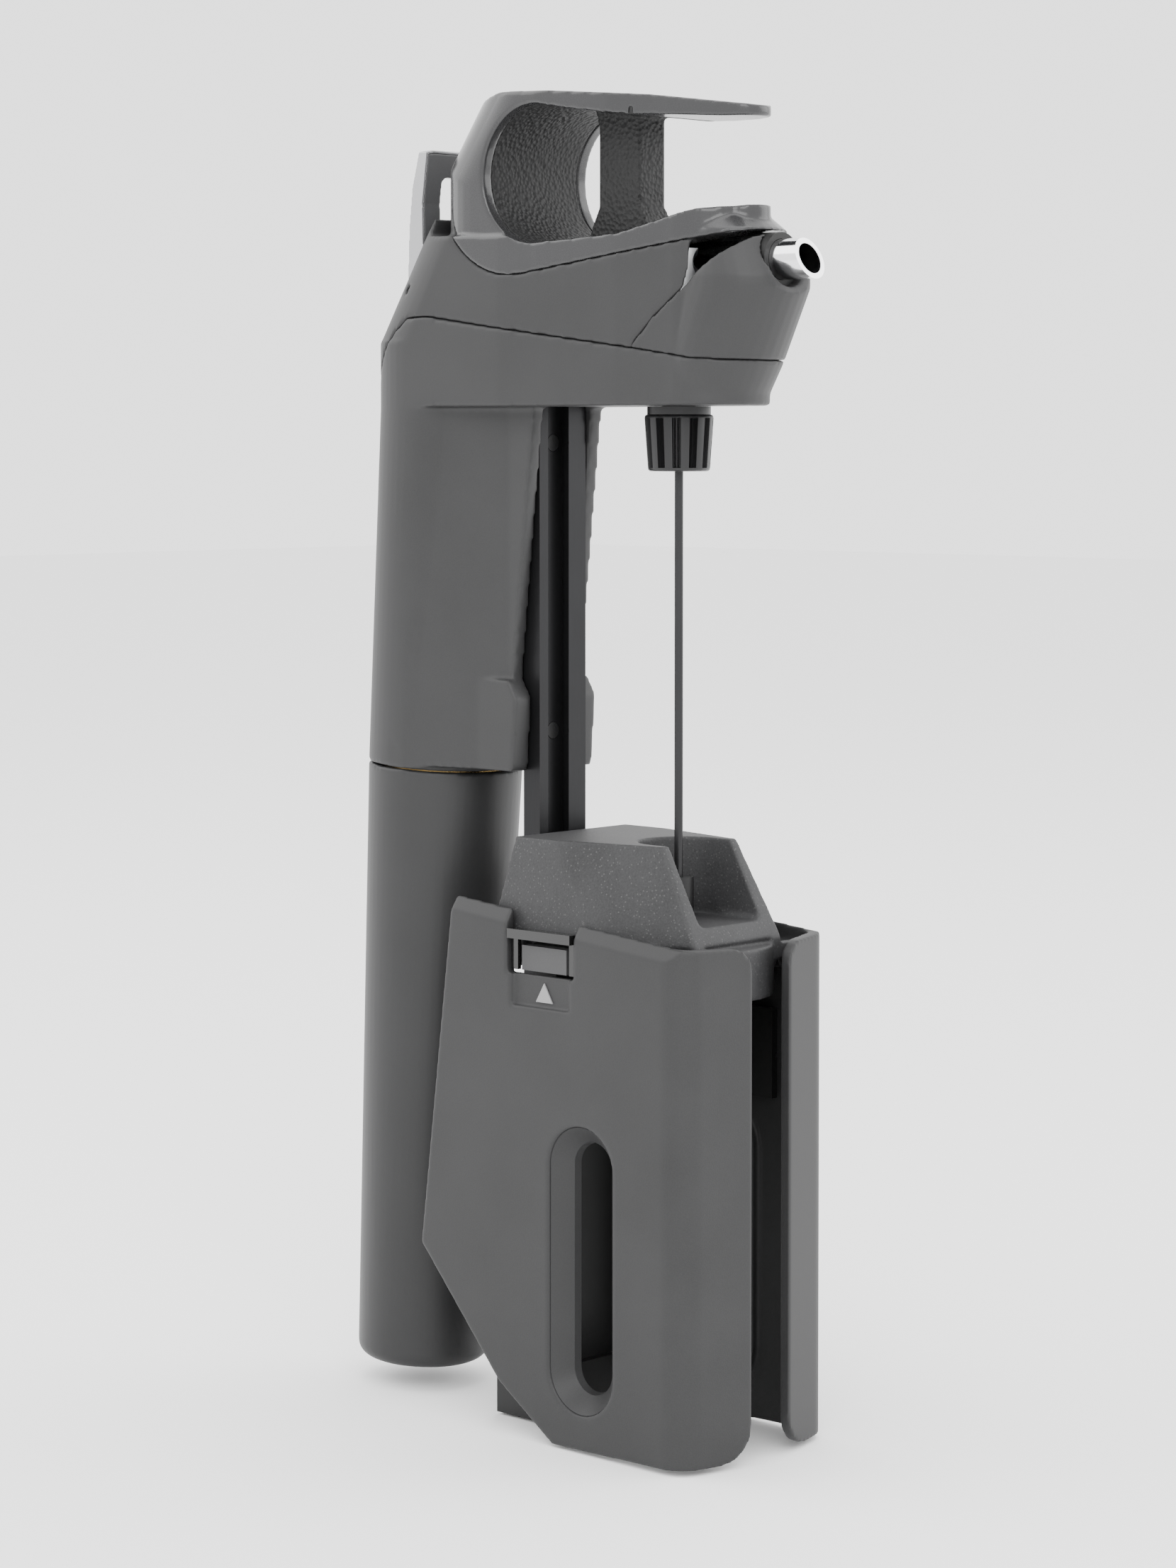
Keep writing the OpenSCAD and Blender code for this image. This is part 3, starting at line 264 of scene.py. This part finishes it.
def mouldPiece(s):
    piece = bpy.data.objects.new(s["name"], nodes[s["node"]].data.copy())
    bpy.context.scene.collection.objects.link(piece)
    pickOnly(piece)
    bpy.ops.mesh.customdata_custom_splitnormals_clear()
    bpy.ops.object.mode_set(mode="EDIT")
    bpy.ops.mesh.select_all(action="SELECT")
    bpy.ops.mesh.remove_doubles(threshold=mould["weld"])
    bpy.ops.object.mode_set(mode="OBJECT")
    applyModifier(piece, "REMESH", mode="VOXEL", voxel_size=s["cell"])
    applyModifier(piece, "SMOOTH", factor=mould["smoothing"], iterations=s["rounds"])
    applyModifier(piece, "DECIMATE", ratio=s["keep"])
    bpy.ops.object.shade_smooth()
    standFor(piece, s["node"])
    print(s["name"], len(piece.data.polygons), "faces")


lowerHousing = {"node": "lower_housing", "name": "handleLowerShell",
                "cell": 0.00045, "rounds": 5, "keep": 0.5}
mouldPiece(lowerHousing)

upperHousing = {"node": "upper_housing", "name": "handleUpperShell",
                "cell": 0.00045, "rounds": 5, "keep": 0.5}
mouldPiece(upperHousing)

noseCover = {"node": "nose_cover", "name": "handleNose",
             "cell": 0.00035, "rounds": 6, "keep": 0.5}
mouldPiece(noseCover)

loopBand = {"node": "grip", "name": "handleLoopBand",
            "cell": 0.00035, "rounds": 5, "keep": 0.4}
mouldPiece(loopBand)

loopLiner = {"node": "grip_liner", "name": "handleLoopLiner",
             "cell": 0.00035, "rounds": 4, "keep": 0.5}
mouldPiece(loopLiner)

gasCup = {"node": "capsule_cup", "name": "gasCup",
          "cell": 0.00045, "rounds": 5, "keep": 0.5}
mouldPiece(gasCup)

clampHead = {"node": "clamp_head", "name": "clampHead",
             "cell": 0.00035, "rounds": 4, "keep": 0.4}
mouldPiece(clampHead)

jawLeft = {"node": "jaw_left", "name": "clampJawLeft",
           "cell": 0.00035, "rounds": 5, "keep": 0.45}
mouldPiece(jawLeft)

jawRight = {**jawLeft, "node": "jaw_right", "name": "clampJawRight"}
mouldPiece(jawRight)

triggerCover = {"node": "trigger_cover", "name": "triggerCover",
                "cell": 0.00018, "rounds": 4, "keep": 0.5}
mouldPiece(triggerCover)

triggerFrame = {**triggerCover, "node": "trigger_frame", "name": "triggerFrame"}
mouldPiece(triggerFrame)
print("moulded pieces made")

# fluted grip on top of the needle
needleGrip = {"node": "needle_grip", "name": "needleGripFluted", "sides": 24, "fluteDepth": 0.00045,
              "fluteInset": 0.00012, "edge": 0.0006, "edgeSteps": 4, "taper": 0.9, "smoothAngle": 35}
sameHeight = 0.000001
leastFlat = 0.0000001  # area of the smallest side flat, in square metres


def addNeedleGrip(s):
    low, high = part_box(s["node"])
    middle = [(a + b) / 2 for a, b in zip(low, high)]
    radius = (high[0] - low[0]) / 2
    height = high[2] - low[2]
    deselectAll()
    bpy.ops.mesh.primitive_cylinder_add(vertices=s["sides"], radius=radius, depth=height,
                                        location=middle)
    piece = bpy.context.object
    piece.name = s["name"]
    bpy.ops.object.transform_apply(location=True, rotation=True, scale=True)
    bpy.ops.object.mode_set(mode="EDIT")
    bpy.ops.mesh.select_all(action="DESELECT")
    bpy.ops.object.mode_set(mode="OBJECT")
    for edge in piece.data.edges:  # rims at the top and bottom
        a, b = (piece.data.vertices[v].co for v in edge.vertices)
        edge.select = abs(a.z - b.z) < sameHeight
    bpy.ops.object.mode_set(mode="EDIT")
    bpy.ops.mesh.bevel(offset=s["edge"], segments=s["edgeSteps"], affect="EDGES")
    bpy.ops.mesh.select_all(action="DESELECT")
    bpy.ops.object.mode_set(mode="OBJECT")
    for face in piece.data.polygons:  # every other flat on the side
        upright = abs(face.normal.z) < 0.01 and face.area > leastFlat
        turn = math.atan2(face.normal.y, face.normal.x) / (2 * math.pi) * s["sides"]
        face.select = upright and int(math.floor(turn + s["sides"])) % 2 == 0
    bpy.ops.object.mode_set(mode="EDIT")
    bpy.ops.mesh.inset(thickness=s["fluteInset"], use_individual=True)
    bpy.ops.transform.shrink_fatten(value=-s["fluteDepth"])
    bpy.ops.mesh.select_all(action="DESELECT")
    bpy.ops.object.mode_set(mode="OBJECT")
    for vertex in piece.data.vertices:  # narrower towards the needle's tip
        vertex.select = vertex.co.z < middle[2]
    bpy.ops.object.mode_set(mode="EDIT")
    bpy.ops.transform.resize(value=(s["taper"], s["taper"], 1), center_override=middle)
    bpy.ops.object.mode_set(mode="OBJECT")
    bpy.ops.object.shade_smooth_by_angle(angle=math.radians(s["smoothAngle"]))
    standFor(piece, s["node"])


addNeedleGrip(needleGrip)
print("needle grip made")

# deep bevel that funnels each jaw's slot inwards; each loop is (distance from the middle, radius)
slotBevel = {"y": 0.0055, "low": -0.0722, "high": -0.0367, "sides": 48, "smoothAngle": 30,
             "loops": [(0.0190, 0.00746), (0.0160, 0.0045), (0.0146, 0.0042), (0.0146, 0.0072)]}


def selectVertices(piece, chosen):
    for vertex in piece.data.vertices:
        vertex.select = vertex.index in chosen
    for part in list(piece.data.edges) + list(piece.data.polygons):
        part.select = all(v in chosen for v in part.vertices)


def selectOpenEdges(piece):
    uses = {}
    for face in piece.data.polygons:
        for key in face.edge_keys:
            uses[key] = uses.get(key, 0) + 1
    for edge in piece.data.edges:
        edge.select = uses.get(edge.key, 0) == 1


def addSlotBevel(side, node, name, s):
    firstX, firstR = s["loops"][0]
    deselectAll()
    bpy.ops.mesh.primitive_circle_add(vertices=s["sides"], radius=firstR,
                                      rotation=(0, math.pi / 2, 0),
                                      location=(side * firstX, s["y"], s["low"]))
    piece = bpy.context.object
    piece.name = name
    bpy.ops.object.transform_apply(location=True, rotation=True, scale=True)
    for vertex in piece.data.vertices:  # upper half moves up to the slot's top
        if vertex.co.z > s["low"] + sameHeight:
            vertex.co.z += s["high"] - s["low"]
    bpy.ops.object.mode_set(mode="EDIT")
    bpy.ops.mesh.select_all(action="SELECT")
    middle = (s["low"] + s["high"]) / 2
    for (x0, r0), (x1, r1) in zip(s["loops"], s["loops"][1:]):
        step = {"value": (side * (x1 - x0), 0, 0)}
        bpy.ops.mesh.extrude_edges_move(TRANSFORM_OT_translate=step)
        bpy.ops.object.mode_set(mode="OBJECT")
        newest = {v.index for v in piece.data.vertices if v.select}
        heights = {i: piece.data.vertices[i].co.z for i in newest}
        for half, centre in ((1, s["high"]), (-1, s["low"])):  # each round end shrinks on its own
            selectVertices(piece, {i for i in newest if half * (heights[i] - middle) > 0})
            bpy.ops.object.mode_set(mode="EDIT")
            bpy.ops.transform.resize(value=(1, r1 / r0, r1 / r0),
                                     center_override=(side * x1, s["y"], centre))
            bpy.ops.object.mode_set(mode="OBJECT")
        selectVertices(piece, newest)
        bpy.ops.object.mode_set(mode="EDIT")
    bpy.ops.object.mode_set(mode="OBJECT")
    selectOpenEdges(piece)
    bpy.ops.object.mode_set(mode="EDIT")
    bpy.ops.mesh.select_mode(type="EDGE")
    bpy.ops.mesh.bridge_edge_loops()
    bpy.ops.mesh.select_all(action="SELECT")
    bpy.ops.mesh.normals_make_consistent(inside=False)
    bpy.ops.mesh.select_mode(type="VERT")
    bpy.ops.object.mode_set(mode="OBJECT")
    bpy.ops.object.shade_smooth_by_angle(angle=math.radians(s["smoothAngle"]))
    piece.data.materials.append(finishOf[slotOf[node]])
    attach(piece, bodyOf[node])


addSlotBevel(-1, "jaw_left", "slotBevelLeft", slotBevel)
addSlotBevel(1, "jaw_right", "slotBevelRight", slotBevel)
print("slot bevels made")

nodes["rail_screws"].data.materials[0] = finishOf["spine_black"]  # blackened screws

# plain pale floor and soft light from four sides
stageSet = {"floorColor": (0.93, 0.93, 0.93), "floorRough": 0.8, "floorSize": 8, "floorDrop": 0.0005,
            "world": 2.3}
lampSet = [
    {"name": "keySoftbox", "place": (-0.9, -0.9, 0.9), "size": 0.9, "power": 14},
    {"name": "fillSoftbox", "place": (0.9, -0.7, 0.5), "size": 0.8, "power": 5},
    {"name": "backSoftbox", "place": (-0.5, 0.9, 0.8), "size": 0.8, "power": 5},
    {"name": "topSoftbox", "place": (0.0, 0.0, 1.3), "size": 1.0, "power": 6},
]


def addStage(s):
    deselectAll()
    bpy.ops.mesh.primitive_plane_add(size=s["floorSize"],
                                     location=(0, 0, cadBox[0][2] - s["floorDrop"]))
    floor = bpy.context.object
    floor.name = "floor"
    mat = bpy.data.materials.new("floorPaper")
    mat.use_nodes = True
    shader = mat.node_tree.nodes["Principled BSDF"]
    shader.inputs["Base Color"].default_value = (*s["floorColor"], 1)
    shader.inputs["Roughness"].default_value = s["floorRough"]
    floor.data.materials.append(mat)
    world = bpy.data.worlds.new("studio")
    bpy.context.scene.world = world
    world.use_nodes = True
    sky = world.node_tree.nodes["Background"]
    sky.inputs["Color"].default_value = (1, 1, 1, 1)
    sky.inputs["Strength"].default_value = s["world"]


lampAim = Vector((0, 0.02, 0.03))


def addLamp(s):
    data = bpy.data.lights.new(s["name"], "AREA")
    data.size = s["size"]
    data.energy = s["power"]
    lamp = bpy.data.objects.new(s["name"], data)
    bpy.context.scene.collection.objects.link(lamp)
    lamp.location = s["place"]
    aim = lampAim - Vector(s["place"])
    lamp.rotation_euler = aim.to_track_quat("-Z", "Y").to_euler()


addStage(stageSet)
for lamp in lampSet:
    addLamp(lamp)
print("stage set")
